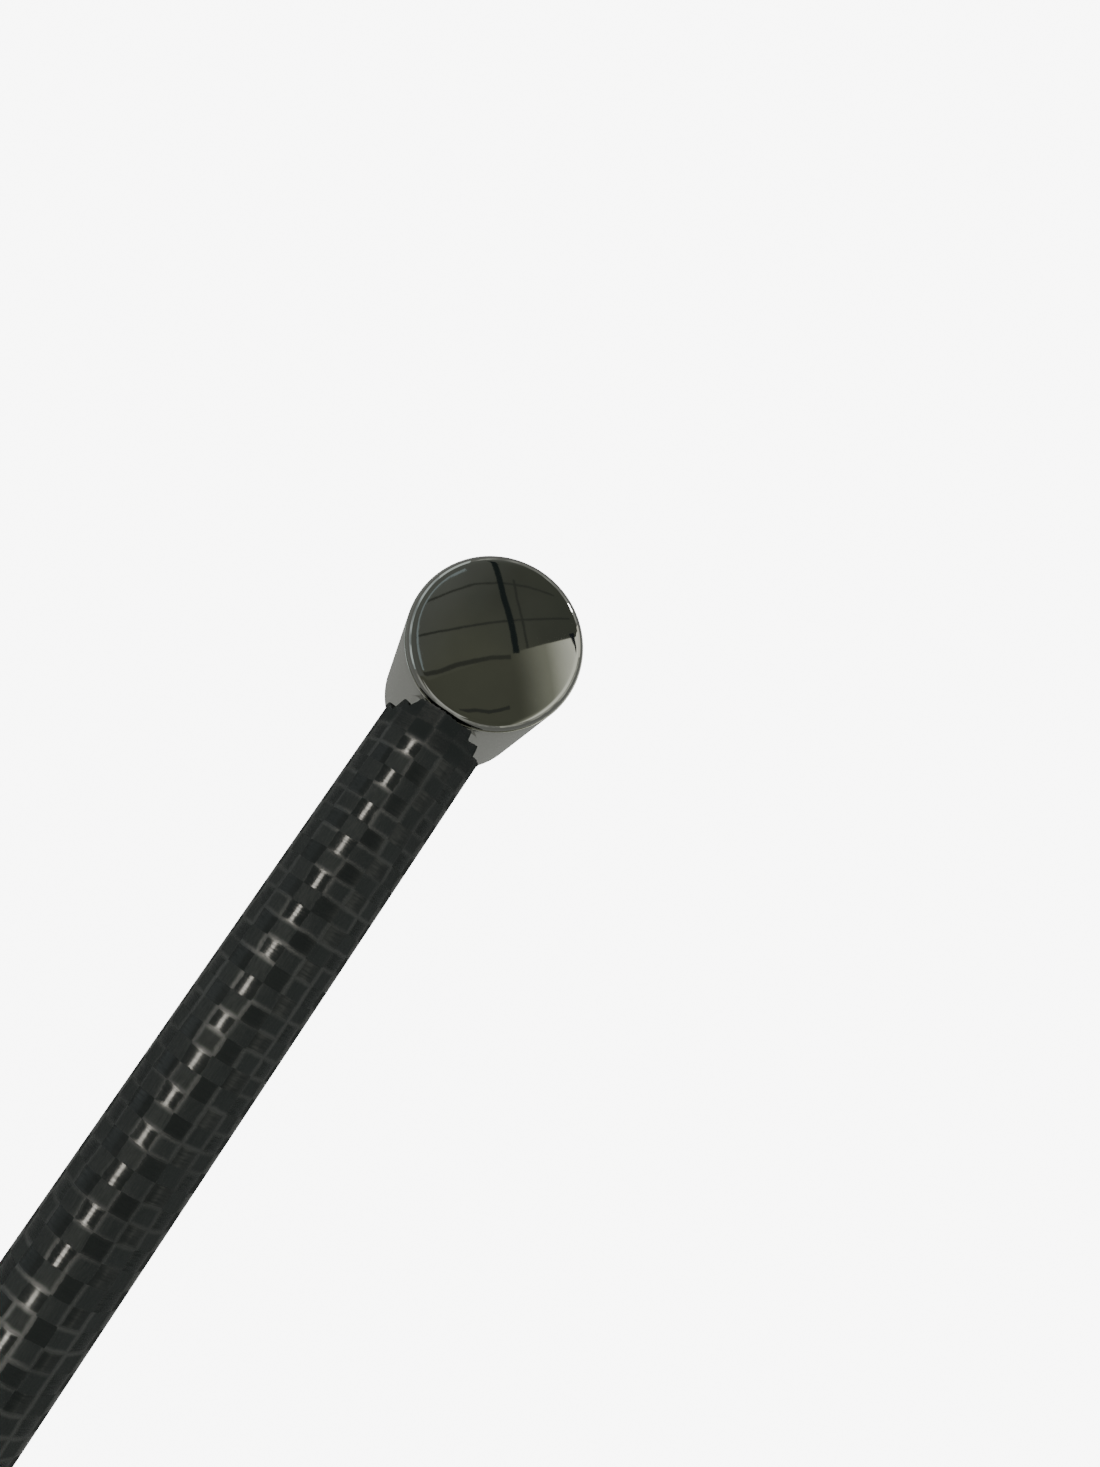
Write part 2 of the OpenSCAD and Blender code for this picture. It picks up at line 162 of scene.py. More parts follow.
def carbon_weave():
    """Plain-woven carbon in satin resin. The UV map counts yarns: u along the tube, v round it."""
    g = Graph("carbon_weave")
    place = g.coords()
    u, v, _ = g.split(g.coords("UV"))
    for scale, size in ((48.0, 0.24), (210.0, 0.15), (700.0, 0.06)):
        u = g.math("ADD", u, g.math("MULTIPLY_ADD", g.noise(place, scale, 2.0), size, -size / 2))
        shifted = g.stretched(place, (1.3, 1.1, 0.8))
        v = g.math("ADD", v, g.math("MULTIPLY_ADD", g.noise(shifted, scale * 1.1, 2.0), size, -size / 2))
    cu, cv = g.math("FLOOR", u), g.math("FLOOR", v)
    parity = g.math("FLOORED_MODULO", g.math("ADD", cu, cv), 2.0)
    other = g.math("SUBTRACT", 1.0, parity)
    fu = g.math("SUBTRACT", g.math("FRACT", u), 0.5)
    fv = g.math("SUBTRACT", g.math("FRACT", v), 0.5)

    def pick(at_0, at_1):
        return g.math("ADD", g.math("MULTIPLY", at_0, other), g.math("MULTIPLY", at_1, parity))

    def hash_of(a, b, salt):
        return g.node("TexWhiteNoise", {"Vector": g.join(a, b, salt)}, noise_dimensions="3D").outputs[0]

    # parity 0: the yarn on top runs along the tube; parity 1: it runs round it.
    run, side = pick(fu, fv), pick(fv, fu)
    arch = g.math("COSINE", g.math("MULTIPLY", run, 2.5))
    edge = g.math("POWER", g.math("ABSOLUTE", g.math("MULTIPLY", side, 2.0)), 8.0)
    along_u = g.noise(g.join(g.math("MULTIPLY", u, 1.2), g.math("MULTIPLY", v, 22.0), 0.0), 1.0, 2.0, 0.6)
    along_v = g.noise(g.join(g.math("MULTIPLY", u, 22.0), g.math("MULTIPLY", v, 1.2), 7.0), 1.0, 2.0, 0.6)
    fibre = pick(along_u, along_v)
    cell = hash_of(cu, cv, 3.0)
    patch = g.noise(place, 24.0, 2.0)

    # Some gaps between yarns get a paler colour and their own gloss; the paler colour is a painted highlight for the
    # light that the resin in the gaps catches, so the seams read as broken stairs.
    step_u = g.math("MULTIPLY", g.smooth(g.math("ABSOLUTE", fu), 0.30, 0.50),
                    g.smooth(hash_of(g.math("ROUND", u), cv, 11.0), 0.35, 0.60))
    step_v = g.math("MULTIPLY", g.smooth(g.math("ABSOLUTE", fv), 0.31, 0.50),
                    g.smooth(hash_of(cu, g.math("ROUND", v), 17.0), 0.35, 0.60))
    seam = g.math("MULTIPLY", g.math("MAXIMUM", step_u, step_v), g.smooth(patch, 0.32, 0.60, 0.35, 1.0))

    dry_end = g.smooth(g.split(place)[0], TUBE_HIGH[0] - 9.5 * MM, TUBE_HIGH[0] - 6.0 * MM)
    crisp = g.math("MULTIPLY_ADD", dry_end, -0.75, 1.0)
    seam = g.math("MULTIPLY", seam, crisp)
    tone = g.math("MULTIPLY_ADD", cell, 0.14, g.math("MULTIPLY_ADD", fibre, 0.22, g.math("MULTIPLY", patch, 0.22)))
    # Painted sheen: cells whose top yarn runs along the tube are made lighter, standing in for the broad reflection
    # of the strip light they give near the highlight.
    tone = g.math("MULTIPLY_ADD", other, 0.36, tone)
    tone = g.math("ADD", g.math("MULTIPLY", tone, crisp), g.math("MULTIPLY", dry_end, 0.30))
    dark = g.mix(tone, (0.0058, 0.0068, 0.0064), (0.0140, 0.0162, 0.0150))
    # Painted highlight: the seams are mixed towards a paler colour here.
    colour = g.mix(g.math("MULTIPLY", seam, 0.24), dark, (0.034, 0.037, 0.034))
    rough = g.math("ADD", pick(0.60, 0.15), g.math("MULTIPLY_ADD", fibre, 0.10, -0.05))
    rough = g.math("ADD", rough, g.math("MULTIPLY_ADD", cell, 0.05, -0.025))
    rough = g.math("ADD", rough, g.math("MULTIPLY", dry_end, 0.45))
    rough = g.math("ADD", g.math("MULTIPLY", rough, g.math("SUBTRACT", 1.0, seam)), g.math("MULTIPLY", seam, 0.50))
    streaks = g.math("MULTIPLY", g.smooth(fibre, 0.36, 0.60, 0.45, 1.30), crisp)
    shine = g.math("MULTIPLY", pick(0.035, 0.15), streaks)
    shine = g.math("ADD", g.math("MULTIPLY", shine, g.math("SUBTRACT", 1.0, seam)), g.math("MULTIPLY", seam, 0.26))
    relief = g.math("ADD", g.math("SUBTRACT", arch, g.math("MULTIPLY", edge, 0.22)), g.math("MULTIPLY", fibre, 0.10))
    return g.finish(Base_Color=colour, Roughness=rough, Specular_IOR_Level=shine,
                    Normal=g.bump(relief, 0.10 * MM, 0.35))


def polished_metal(name, low, colour, smear, dust, edge=(1.0, 1.0, 1.0)):
    """Mirror-polished dark chrome with faint polishing haze and handling marks."""
    g = Graph(name)
    place = g.coords()
    haze = g.noise(place, 60.0, 4.0, 0.6)
    marks = g.noise(g.stretched(place, (1.0, 1.0, 4.0)), 900.0, 2.0)
    spots = g.smooth(g.noise(place, 2400.0, 1.0), 0.70, 0.78)
    rough = g.math("ADD", g.math("MULTIPLY_ADD", haze, smear, low), g.math("MULTIPLY", spots, dust))
    colour = g.mix(haze, [c * 0.88 for c in colour], colour)
    height = g.math("ADD", g.math("MULTIPLY", haze, 1.0), g.math("MULTIPLY", marks, 0.01))
    return g.finish(Base_Color=colour, Metallic=1.0, Roughness=rough, Specular_Tint=(*edge, 1.0),
                    Normal=g.bump(height, 0.05 * MM, 0.25))


def turned_metal(name, colour, rough, axis="X", rings=5200.0, bright=1.25):
    """Lathe-turned or drawn metal: fine rings along an axis, with soft bright edges."""
    g = Graph(name)
    place = g.coords()
    scale = {"X": (1.0, 0.02, 0.02), "Y": (0.02, 1.0, 0.02), "Z": (0.02, 0.02, 1.0)}[axis]
    rings_n = g.noise(g.stretched(place, scale), rings, 3.0, 0.7)
    blotch = g.noise(place, 140.0, 4.0)
    edge = g.edge_mask(0.5 * MM)
    tint = g.mix(blotch, [c * 0.82 for c in colour], colour)
    tint = g.mix(g.math("MULTIPLY", edge, 0.6), tint, [min(1.0, c * bright) for c in colour])
    roughness = g.math("ADD", g.math("MULTIPLY_ADD", rings_n, 0.18, rough - 0.09), g.math("MULTIPLY", blotch, 0.08))
    normal = g.bump(rings_n, 0.02 * MM, 0.35, g.soft_edges(0.35 * MM))
    return g.finish(Base_Color=tint, Metallic=1.0, Roughness=roughness, Normal=normal)


def blasted_alloy(name, colour):
    """Bead-blasted, anodised alloy with rubbed edges."""
    g = Graph(name)
    place = g.coords()
    grain = g.noise(place, 4200.0, 2.0)
    cloud = g.noise(place, 90.0, 4.0)
    edge = g.math("MULTIPLY", g.edge_mask(0.6 * MM), g.smooth(g.noise(place, 500.0, 3.0), 0.35, 0.65))
    tint = g.mix(cloud, [c * 0.8 for c in colour], colour)
    tint = g.mix(g.math("MULTIPLY", edge, 0.75), tint, (0.55, 0.56, 0.57))
    roughness = g.math("SUBTRACT", g.math("MULTIPLY_ADD", cloud, 0.10, 0.38), g.math("MULTIPLY", edge, 0.12))
    normal = g.bump(grain, 0.03 * MM, 0.5, g.soft_edges(0.5 * MM))
    return g.finish(Base_Color=tint, Metallic=0.85, Roughness=roughness, Normal=normal)


def moulded_plastic(name, colour, rough, grain_scale=1600.0, edge_lift=2.2):
    """Moulded plastic: spark-eroded grain, slight sink marks, scuffs, and paler rubbed edges."""
    g = Graph(name)
    place = g.coords()
    grain = g.noise(place, grain_scale, 3.0, 0.65)
    sink = g.noise(place, 22.0, 2.0)
    scuff = g.smooth(g.noise(g.stretched(place, (1.0, 7.0, 1.0)), 130.0, 5.0, 0.7), 0.60, 0.72)
    edge = g.math("MULTIPLY", g.edge_mask(0.7 * MM), g.smooth(g.noise(place, 260.0, 3.0), 0.38, 0.62))
    tint = g.mix(sink, [c * 0.85 for c in colour], [c * 1.15 for c in colour])
    tint = g.mix(g.math("MULTIPLY", scuff, 0.35), tint, [c * 1.8 + 0.01 for c in colour])
    tint = g.mix(g.math("MULTIPLY", edge, 0.5), tint, [c * edge_lift + 0.02 for c in colour])
    roughness = g.math("ADD", g.math("MULTIPLY_ADD", grain, 0.16, rough - 0.08), g.math("MULTIPLY", scuff, 0.12))
    height = g.math("ADD", grain, g.math("MULTIPLY", sink, 2.0))
    normal = g.bump(height, 0.05 * MM, 0.45, g.soft_edges(0.6 * MM))
    return g.finish(Base_Color=tint, Roughness=roughness, Specular_IOR_Level=0.45, Normal=normal)


def rubber(name, colour):
    g = Graph(name)
    place = g.coords()
    grain = g.noise(place, 1500.0, 4.0, 0.7)
    dust = g.smooth(g.noise(place, 70.0, 5.0, 0.65), 0.45, 0.75)
    tint = g.mix(g.math("MULTIPLY", dust, 0.35), colour, (0.10, 0.10, 0.095))
    return g.finish(Base_Color=tint, Roughness=g.math("MULTIPLY_ADD", dust, 0.15, 0.62), Specular_IOR_Level=0.35,
                    Normal=g.bump(grain, 0.06 * MM, 0.5, g.soft_edges(0.3 * MM)))


def foam(name):
    g = Graph(name)
    place = g.coords()
    cells = g.node("TexVoronoi", {"Vector": place, "Scale": 900.0}).outputs["Distance"]
    tint = g.mix(g.noise(place, 60.0), (0.52, 0.47, 0.27), (0.64, 0.60, 0.38))
    return g.finish(Base_Color=tint, Roughness=0.9, Normal=g.bump(cells, 0.2 * MM, 0.7))


def cover_fabric():
    """Tightly woven nylon: crossing threads in both directions, fuzz, wear and a little frost-pale rubbing."""
    g = Graph("cover_fabric")
    place = g.coords()
    x, y, z = g.split(place)
    normal = g.node("NewGeometry").outputs["Normal"]
    nx, ny, nz = [g.math("ABSOLUTE", s) for s in g.split(normal)]
    flat = g.smooth(nz, 0.55, 0.75)
    end = g.smooth(g.math("SUBTRACT", ny, nx), -0.15, 0.15)
    around = g.math("ADD", g.math("MULTIPLY", x, end), g.math("MULTIPLY", y, g.math("SUBTRACT", 1.0, end)))
    first = g.math("ADD", g.math("MULTIPLY", x, flat), g.math("MULTIPLY", z, g.math("SUBTRACT", 1.0, flat)))
    second = g.math("ADD", g.math("MULTIPLY", y, flat), g.math("MULTIPLY", around, g.math("SUBTRACT", 1.0, flat)))
    pitch = math.tau / (0.9 * MM)
    warp = g.math("SINE", g.math("MULTIPLY", first, pitch))
    weft = g.math("SINE", g.math("MULTIPLY", second, pitch))
    checker = g.math("MULTIPLY", warp, weft)
    threads = g.math("ADD", g.math("MULTIPLY", g.math("ABSOLUTE", warp), 0.5), g.math("MULTIPLY", checker, 0.5))
    fuzz = g.noise(place, 2600.0, 3.0, 0.7)
    wear = g.smooth(g.noise(place, 34.0, 5.0, 0.6), 0.45, 0.75)
    tint = g.mix(threads, (0.022, 0.028, 0.038), (0.060, 0.072, 0.090))
    tint = g.mix(g.math("MULTIPLY", fuzz, 0.35), tint, (0.085, 0.095, 0.11))
    tint = g.mix(g.math("MULTIPLY", wear, 0.28), tint, (0.20, 0.21, 0.22))
    height = g.math("ADD", threads, g.math("MULTIPLY", fuzz, 0.6))
    return g.finish(Base_Color=tint, Roughness=g.math("MULTIPLY_ADD", fuzz, 0.12, 0.72), Sheen_Weight=0.25,
                    Sheen_Roughness=0.45, Specular_IOR_Level=0.3, Normal=g.bump(height, 0.16 * MM, 0.8))


def thread(name, colour):
    g = Graph(name)
    place = g.coords()
    wave = g.node("TexWave", {"Vector": place, "Scale": 900.0, "Distortion": 1.5}, bands_direction="DIAGONAL")
    twist = wave.outputs[1]
    tint = g.mix(twist, [c * 0.55 for c in colour], colour)
    return g.finish(Base_Color=tint, Roughness=0.7, Sheen_Weight=0.2, Normal=g.bump(twist, 0.1 * MM, 0.6))


def smooth_bearing(name):
    g = Graph(name)
    place = g.coords()
    cloud = g.noise(place, 180.0, 4.0)
    tint = g.mix(cloud, (0.60, 0.57, 0.49), (0.74, 0.72, 0.65))
    return g.finish(Base_Color=tint, Roughness=g.math("MULTIPLY_ADD", cloud, 0.15, 0.38),
                    Normal=g.bump(g.noise(place, 2200.0), 0.02 * MM, 0.4, g.soft_edges(0.2 * MM)))


def brass(name):
    g = Graph(name)
    place = g.coords()
    knurl = g.node("TexWave", {"Vector": place, "Scale": 700.0}, bands_direction="Z").outputs[1]
    return g.finish(Base_Color=g.mix(g.noise(place, 300.0), (0.42, 0.29, 0.10), (0.62, 0.45, 0.18)), Metallic=1.0,
                    Roughness=0.35, Normal=g.bump(knurl, 0.1 * MM, 0.6))


MATERIALS = {
    "cover_fabric": cover_fabric(),
    "foam": foam("foam"),
    "stiff_plastic": moulded_plastic("stiff_plastic", (0.030, 0.032, 0.035), 0.42),
    "base_plastic": moulded_plastic("base_plastic", (0.016, 0.017, 0.019), 0.46),
    "bracket_alloy": blasted_alloy("bracket_alloy", (0.075, 0.080, 0.088)),
    "steel": turned_metal("steel", (0.52, 0.52, 0.51), 0.28, "Y"),
    "brass": brass("brass"),
    "bearing_plastic": smooth_bearing("bearing_plastic"),
    "rubber_black": rubber("rubber_black", (0.014, 0.014, 0.014)),
    "ferrule_alloy": turned_metal("ferrule_alloy", (0.60, 0.61, 0.62), 0.24, "X"),
    "carbon_weave": carbon_weave(),
    "knob_metal": polished_metal("knob_face_metal", 0.02, (0.33, 0.335, 0.315), 0.03, 0.10),
}
BARREL_METAL = polished_metal("knob_side_metal", 0.14, (0.60, 0.605, 0.585), 0.10, 0.08, (0.8, 0.8, 0.78))


# ---------------------------------------------------------------- mesh helpers

def add_mesh(name, verts, faces, material, smooth=True):
    mesh = bpy.data.meshes.new(name)
    mesh.from_pydata([tuple(v) for v in verts], [], faces)
    mesh.update()
    obj = bpy.data.objects.new(name, mesh)
    bpy.context.scene.collection.objects.link(obj)
    mesh.materials.append(material)
    mesh.polygons.foreach_set("use_smooth", [smooth] * len(mesh.polygons))
    return obj


def keep_creases(obj, degrees):
    """Marks sharp edges where faces meet at more than an angle."""
    bm = bmesh.new()
    bm.from_mesh(obj.data)
    limit = math.radians(degrees)
    for edge in bm.edges:
        if len(edge.link_faces) == 2 and edge.calc_face_angle(0.0) > limit:
            edge.smooth = False
    bm.to_mesh(obj.data)
    bm.free()


def revolve(name, profile, centre, material, segments=256):
    """A closed solid of revolution about a vertical axis. The profile runs from the axis or is a closed loop."""
    verts, faces, rows = [], [], []
    for r, z in profile:
        if r < 1e-7:
            rows.append([len(verts)] * segments)
            verts.append((centre[0], centre[1], z))
            continue
        rows.append(list(range(len(verts), len(verts) + segments)))
        for k in range(segments):
            a = math.tau * k / segments
            verts.append((centre[0] + r * math.cos(a), centre[1] + r * math.sin(a), z))
    closed = profile[0][0] > 1e-7
    pairs = list(zip(rows, rows[1:])) + ([(rows[-1], rows[0])] if closed else [])
    for a, b in pairs:
        for k in range(segments):
            n = (k + 1) % segments
            loop = []
            for i in (a[k], a[n], b[n], b[k]):
                if i not in loop:
                    loop.append(i)
            faces.append(loop)
    obj = add_mesh(name, verts, faces, material)
    bm = bmesh.new()
    bm.from_mesh(obj.data)
    bmesh.ops.recalc_face_normals(bm, faces=bm.faces)
    bm.to_mesh(obj.data)
    bm.free()
    keep_creases(obj, 35)
    return obj


def arc(centre, radius, start, end, steps):
    """Points of an arc in the radius-height plane, angles in degrees."""
    angles = [math.radians(start + (end - start) * i / steps) for i in range(steps + 1)]
    return [(centre[0] + radius * math.cos(a), centre[1] + radius * math.sin(a)) for a in angles]


# ---------------------------------------------------------------- woven tube

TUBE_SETBACK = 0.2
FLARE_REACH = 4.5 * MM
# The ragged cut of the woven tube: degrees round from +Y, and how far the cloth stops short there, in mm.
CUT_EDGE = (
    (-30, 2.6), (0, 3.1), (8, 3.0), (14, 2.5), (20, 2.7), (31, 4.1), (33, 3.7), (41, 0.6), (43, 0.8),
    (51, 1.9), (55, 0.6), (59, -0.9), (72, -1.0), (88, -0.9), (104, -0.6), (114, -0.8), (122, -1.0),
    (124, 1.0), (126, 1.2), (134, 0.8), (141, 0.6), (142.5, 3.2), (150, 2.9), (162, 3.0), (172, 3.2),
    (186, 2.2), (196, 3.6), (205, 1.4), (214, 2.9), (226, 1.0), (238, 2.6), (247, 0.6), (262, 1.9),
    (270, 0.5), (283, 2.4), (291, 0.8), (304, 2.8), (314, 1.5), (322, 3.4), (330, 2.6),
)


def end_notch(angle):
    """How far the cut end stops short of the tube's full length."""
    degrees = (math.degrees(angle) + 30.0) % 360.0 - 30.0
    for (a0, d0), (a1, d1) in zip(CUT_EDGE, CUT_EDGE[1:]):
        if a0 <= degrees <= a1:
            short = d0 + (d1 - d0) * (degrees - a0) / (a1 - a0)
            break
    ragged = 0.10 * math.sin(angle * 53.0) + 0.06 * math.sin(angle * 97.0 + 1.0)
    return (short + ragged + TUBE_SETBACK) * MM


def room_at(angle):
    """How much of the flare's length fits between the plain tube and the cut, from 0 to 1."""
    return max(0.12, min(1.0, (FLARE_REACH - end_notch(angle)) / FLARE_REACH))


def woven_tube():
    """The carbon tube, with its yarns counted in the UV map and a ragged cut where it meets the knob."""
    segments = CELLS_ROUND * 14
    inner = TUBE_R - 1.3 * MM
    length = TUBE_HIGH[0] - TUBE_LOW[0]
    rings = 260
    stations = [TUBE_LOW[0] + length * i / rings for i in range(rings)]
    stations = [x for x in stations if x < TUBE_HIGH[0] - 8.0 * MM]
    stations += [TUBE_HIGH[0] - d * MM for d in (8.0, 6.5, 5.4, 4.6)]
    stations.sort()
    verts, faces, uv = [], [], []

    def ring(radius, x_of):
        for k in range(segments):
            a = math.tau * k / segments
            verts.append((x_of(a), radius * math.cos(a), AXIS_Z + radius * math.sin(a)))
            uv.append((verts[-1][0] / AXIAL_CELL + WEAVE_START[0], k / segments * CELLS_ROUND + WEAVE_START[1]))

    for x in stations:
        ring(TUBE_R, lambda a: x)
    for back, flare in ((2.2, 0.0), (1.2, 0.05), (0.5, 0.14), (0.0, 0.22)):
        ring(TUBE_R + flare * MM, lambda a: TUBE_HIGH[0] - end_notch(a) - back * room_at(a) * MM)
    ring(inner, lambda a: TUBE_HIGH[0] - end_notch(a))
    ring(inner, lambda a: TUBE_HIGH[0] - 30 * MM)
    ring(inner, lambda a: TUBE_LOW[0])
    count = len(verts) // segments
    for i in range(count):
        j = (i + 1) % count
        for k in range(segments):
            n = (k + 1) % segments
            faces.append((i * segments + k, i * segments + n, j * segments + n, j * segments + k))
    obj = add_mesh("tube_weave", verts, faces, MATERIALS["carbon_weave"])
    layer = obj.data.uv_layers.new(name="weave")
    for poly in obj.data.polygons:
        wraps = any(obj.data.loops[i].vertex_index % segments == 0 for i in poly.loop_indices) and any(
            obj.data.loops[i].vertex_index % segments == segments - 1 for i in poly.loop_indices)
        for i in poly.loop_indices:
            vi = obj.data.loops[i].vertex_index
            u, v = uv[vi]
            layer.data[i].uv = (u, v + (CELLS_ROUND if wraps and vi % segments == 0 else 0))
    bm = bmesh.new()
    bm.from_mesh(obj.data)
    bmesh.ops.recalc_face_normals(bm, faces=bm.faces)
    bm.to_mesh(obj.data)
    bm.free()
    keep_creases(obj, 50)
    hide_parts("handle_tube")
    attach(obj, "handle")
    return obj


# ---------------------------------------------------------------- end knob

def knob():
    edge_r, band, step = 2.5 * MM, 0.2 * MM, 0.35 * MM
    dome_angle = 11.0
    rim = KNOB_R - step
    bore = KNOB_R - 2.5 * MM
    ring_r = rim - edge_r
    dome_r = ring_r / math.sin(math.radians(dome_angle)) + edge_r
    top = CAP_HIGH[2]
    dome_z = top - dome_r
    edge_z = dome_z + (dome_r - edge_r) * math.cos(math.radians(dome_angle))
    seam = edge_z - band
    plug = 2.5 * MM
    centre = (KNOB_X, 0.0)
    face = [(0.0, seam), (bore - 2 * MM, seam), (bore - 2 * MM, seam - plug), (bore - 0.05 * MM, seam - plug),
            (bore - 0.05 * MM, seam), (rim - 0.08 * MM, seam), (rim, seam + 0.08 * MM)]
    face += arc((ring_r, edge_z), edge_r, 0, 90 - dome_angle, 24)
    face += [(dome_r * math.sin(math.radians(a)), dome_z + dome_r * math.cos(math.radians(a)))
             for a in [dome_angle * (1 - i / 40) for i in range(1, 40)]]
    face.append((0.0, top))
    cap = revolve("knob_face", face, centre, MATERIALS["knob_metal"])
    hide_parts("knob_cap")
    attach(cap, "handle")

    low = SHELL_LOW[2]
    far = 1.5 * MM
    lip = 0.3 * MM
    side = [(bore, low), (KNOB_R - far, low)]
    side += arc((KNOB_R - far, low + far), far, -90, 0, 14)[1:]
    side += [(KNOB_R, low + (seam - low) * i / 12) for i in range(1, 12)]
    side += arc((KNOB_R - lip, seam - lip), lip, 0, 90, 8)
    side.append((bore, seam))
    shell = revolve("knob_barrel", side, centre, BARREL_METAL)
    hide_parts("knob_shell")
    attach(shell, "handle")
    return cap, shell


# ---------------------------------------------------------------- pad

PAD_L = PAD_HIGH[1] - PAD_LOW[1]
PAD_W = PAD_HIGH[0] - PAD_LOW[0]
PAD_CORNER = 26 * MM


def pad_outline(inset, count):
    """Points round a rectangle with round corners, evenly spaced, starting at the middle of the +X side."""
    l, w, r = PAD_L - 2 * inset, PAD_W - 2 * inset, max(PAD_CORNER - inset, 2 * MM)
    half_l, half_w = l / 2 - r, w / 2 - r
    quarter = math.pi * r / 2
    runs = [half_l, quarter, 2 * half_w, quarter, 2 * half_l, quarter, 2 * half_w, quarter, half_l]
    total = sum(runs)
    points = []
    for i in range(count):
        s = total * i / count
        k = 0
        while s > runs[k]:
            s -= runs[k]
            k += 1
        if k == 0:
            points.append((w / 2, s))
        elif k == 8:
            points.append((w / 2, -half_l + s))
        elif k == 2:
            points.append((half_w - s, l / 2))
        elif k == 4:
            points.append((-w / 2, half_l - s))
        elif k == 6:
            points.append((-half_w + s, -l / 2))
        else:
            corner = {1: (half_w, half_l, 0), 3: (-half_w, half_l, 90), 5: (-half_w, -half_l, 180),
                      7: (half_w, -half_l, 270)}[k]
            a = math.radians(corner[2]) + s / r
            points.append((corner[0] + r * math.cos(a), corner[1] + r * math.sin(a)))
    return points


def pad_cover():
    """The fabric cover: a boxed form, blown out by cloth simulation against its clamped hem and flat sole."""
    count = 168
    levels = [(0.0, 12.0), (0.0, 8.0), (0.10, 4.8), (0.6, 2.6), (1.8, 1.2), (4.2, 0.5), (7.2, 0.4), (10.2, 0.4),
              (13.2, 0.4), (16.0, 0.4), (18.6, 0.5), (20.0, 0.9), (20.8, 2.4), (21.1, 5.0), (21.2, 8.0)]
    verts, faces = [], []
    for z, inset in levels:
        for x, y in pad_outline(inset * MM, count):
            verts.append((x, y, z * MM))
    for i in range(len(levels) - 1):
        for k in range(count):
            n = (k + 1) % count
            faces.append((i * count + k, i * count + n, (i + 1) * count + n, (i + 1) * count + k))
    for edge_ring, z in ((0, 0.0), (len(levels) - 1, levels[-1][0] * MM)):
        last = [edge_ring * count + k for k in range(count)]
        for shrink in (16.0, 21.0, 26.0, 31.0):
            ring = []
            for x, y in pad_outline(min(shrink, 31.0) * MM, count):
                ring.append(len(verts))
                verts.append((x, y, z))
            for k in range(count):
                n = (k + 1) % count
                faces.append((last[k], last[n], ring[n], ring[k]))
            last = ring
        faces.append(tuple(last))
    obj = add_mesh("pad_fabric", verts, faces, MATERIALS["cover_fabric"])
    bm = bmesh.new()
    bm.from_mesh(obj.data)
    bmesh.ops.recalc_face_normals(bm, faces=bm.faces)
    bm.to_mesh(obj.data)
    bm.free()
    blow_out(obj)
    smooth = obj.modifiers.new("smooth", "SUBSURF")
    smooth.levels = smooth.render_levels = 1
    return obj, count


def blow_out(obj):
    """Cloth simulation of the cover under the foam's pressure, with the sole and the clamped hem held."""
    start = [v.co.copy() for v in obj.data.vertices]
    outward = [v.normal.copy() for v in obj.data.vertices]
    held = obj.vertex_groups.new(name="held")
    for v in obj.data.vertices:
        if v.co.z < 0.1 * MM or v.co.z > 20.9 * MM:
            held.add([v.index], 1.0, "REPLACE")
    cloth = obj.modifiers.new("cloth", "CLOTH")
    s = cloth.settings
    s.vertex_group_mass = "held"
    s.use_pressure = True
    s.uniform_pressure_force = 4.0
    s.effector_weights.gravity = 0.0
    s.shrink_min = -0.035
    s.quality = 6
    s.mass = 0.2
    s.tension_stiffness = 12.0
    s.compression_stiffness = 6.0
    s.bending_stiffness = 0.15
    cloth.point_cache.frame_start, cloth.point_cache.frame_end = 1, 20
    for f in range(1, 21):
        bpy.context.scene.frame_set(f)
    deps = bpy.context.evaluated_depsgraph_get()
    shaped = obj.evaluated_get(deps).to_mesh()
    moved = [v.co.copy() for v in shaped.vertices]
    obj.evaluated_get(deps).to_mesh_clear()
    obj.modifiers.remove(cloth)
    cap, dent = 2.4 * MM, 0.30 * MM
    for v, a, b, n in zip(obj.data.vertices, start, moved, outward):
        d = b - a
        d += n * max(0.0, -dent - d.dot(n))
        if d.length > cap:
            d = d.normalized() * cap
        p = a + d
        p.z = max(0.0, min(p.z, 21.3 * MM))
        v.co = p
    bpy.context.scene.frame_set(1)


def tube_along(name, loop, radius, material, sides=8):
    """A closed cord of round section through a loop of points."""
    verts, faces = [], []
    n = len(loop)
    for i, p in enumerate(loop):
        ahead, behind = loop[(i + 1) % n], loop[i - 1]
        tangent = (ahead - behind).normalized()
        side = tangent.cross(Vector((0, 0, 1))).normalized()
        up = side.cross(tangent)
        for k in range(sides):
            a = math.tau * k / sides
            verts.append(p + (side * math.cos(a) + up * math.sin(a)) * radius)
    for i in range(n):
        j = (i + 1) % n
        for k in range(sides):
            m = (k + 1) % sides
            faces.append((i * sides + k, j * sides + k, j * sides + m, i * sides + m))
    return add_mesh(name, verts, faces, material)


def foam_core():
    """The foam inside the cover: a slab with its edges rounded by the fabric's pull."""
    count = 120
    levels = [(1.1, 9.0), (1.4, 5.4), (2.4, 3.8), (4.6, 2.8), (8.0, 2.3), (12.0, 2.3), (15.2, 2.6), (16.6, 3.8),
              (17.0, 6.0)]
    verts, faces = [], []
    for z, inset in levels:
        verts += [(x, y, z * MM) for x, y in pad_outline(inset * MM, count)]
    for i in range(len(levels) - 1):
        for k in range(count):
            n = (k + 1) % count
            faces.append((i * count + k, i * count + n, (i + 1) * count + n, (i + 1) * count + k))
    faces.append(tuple(reversed(range(count))))
    faces.append(tuple(range(len(verts) - count, len(verts))))
    return add_mesh("foam_core", verts, faces, MATERIALS[SLOT_OF["pad_foam"]])


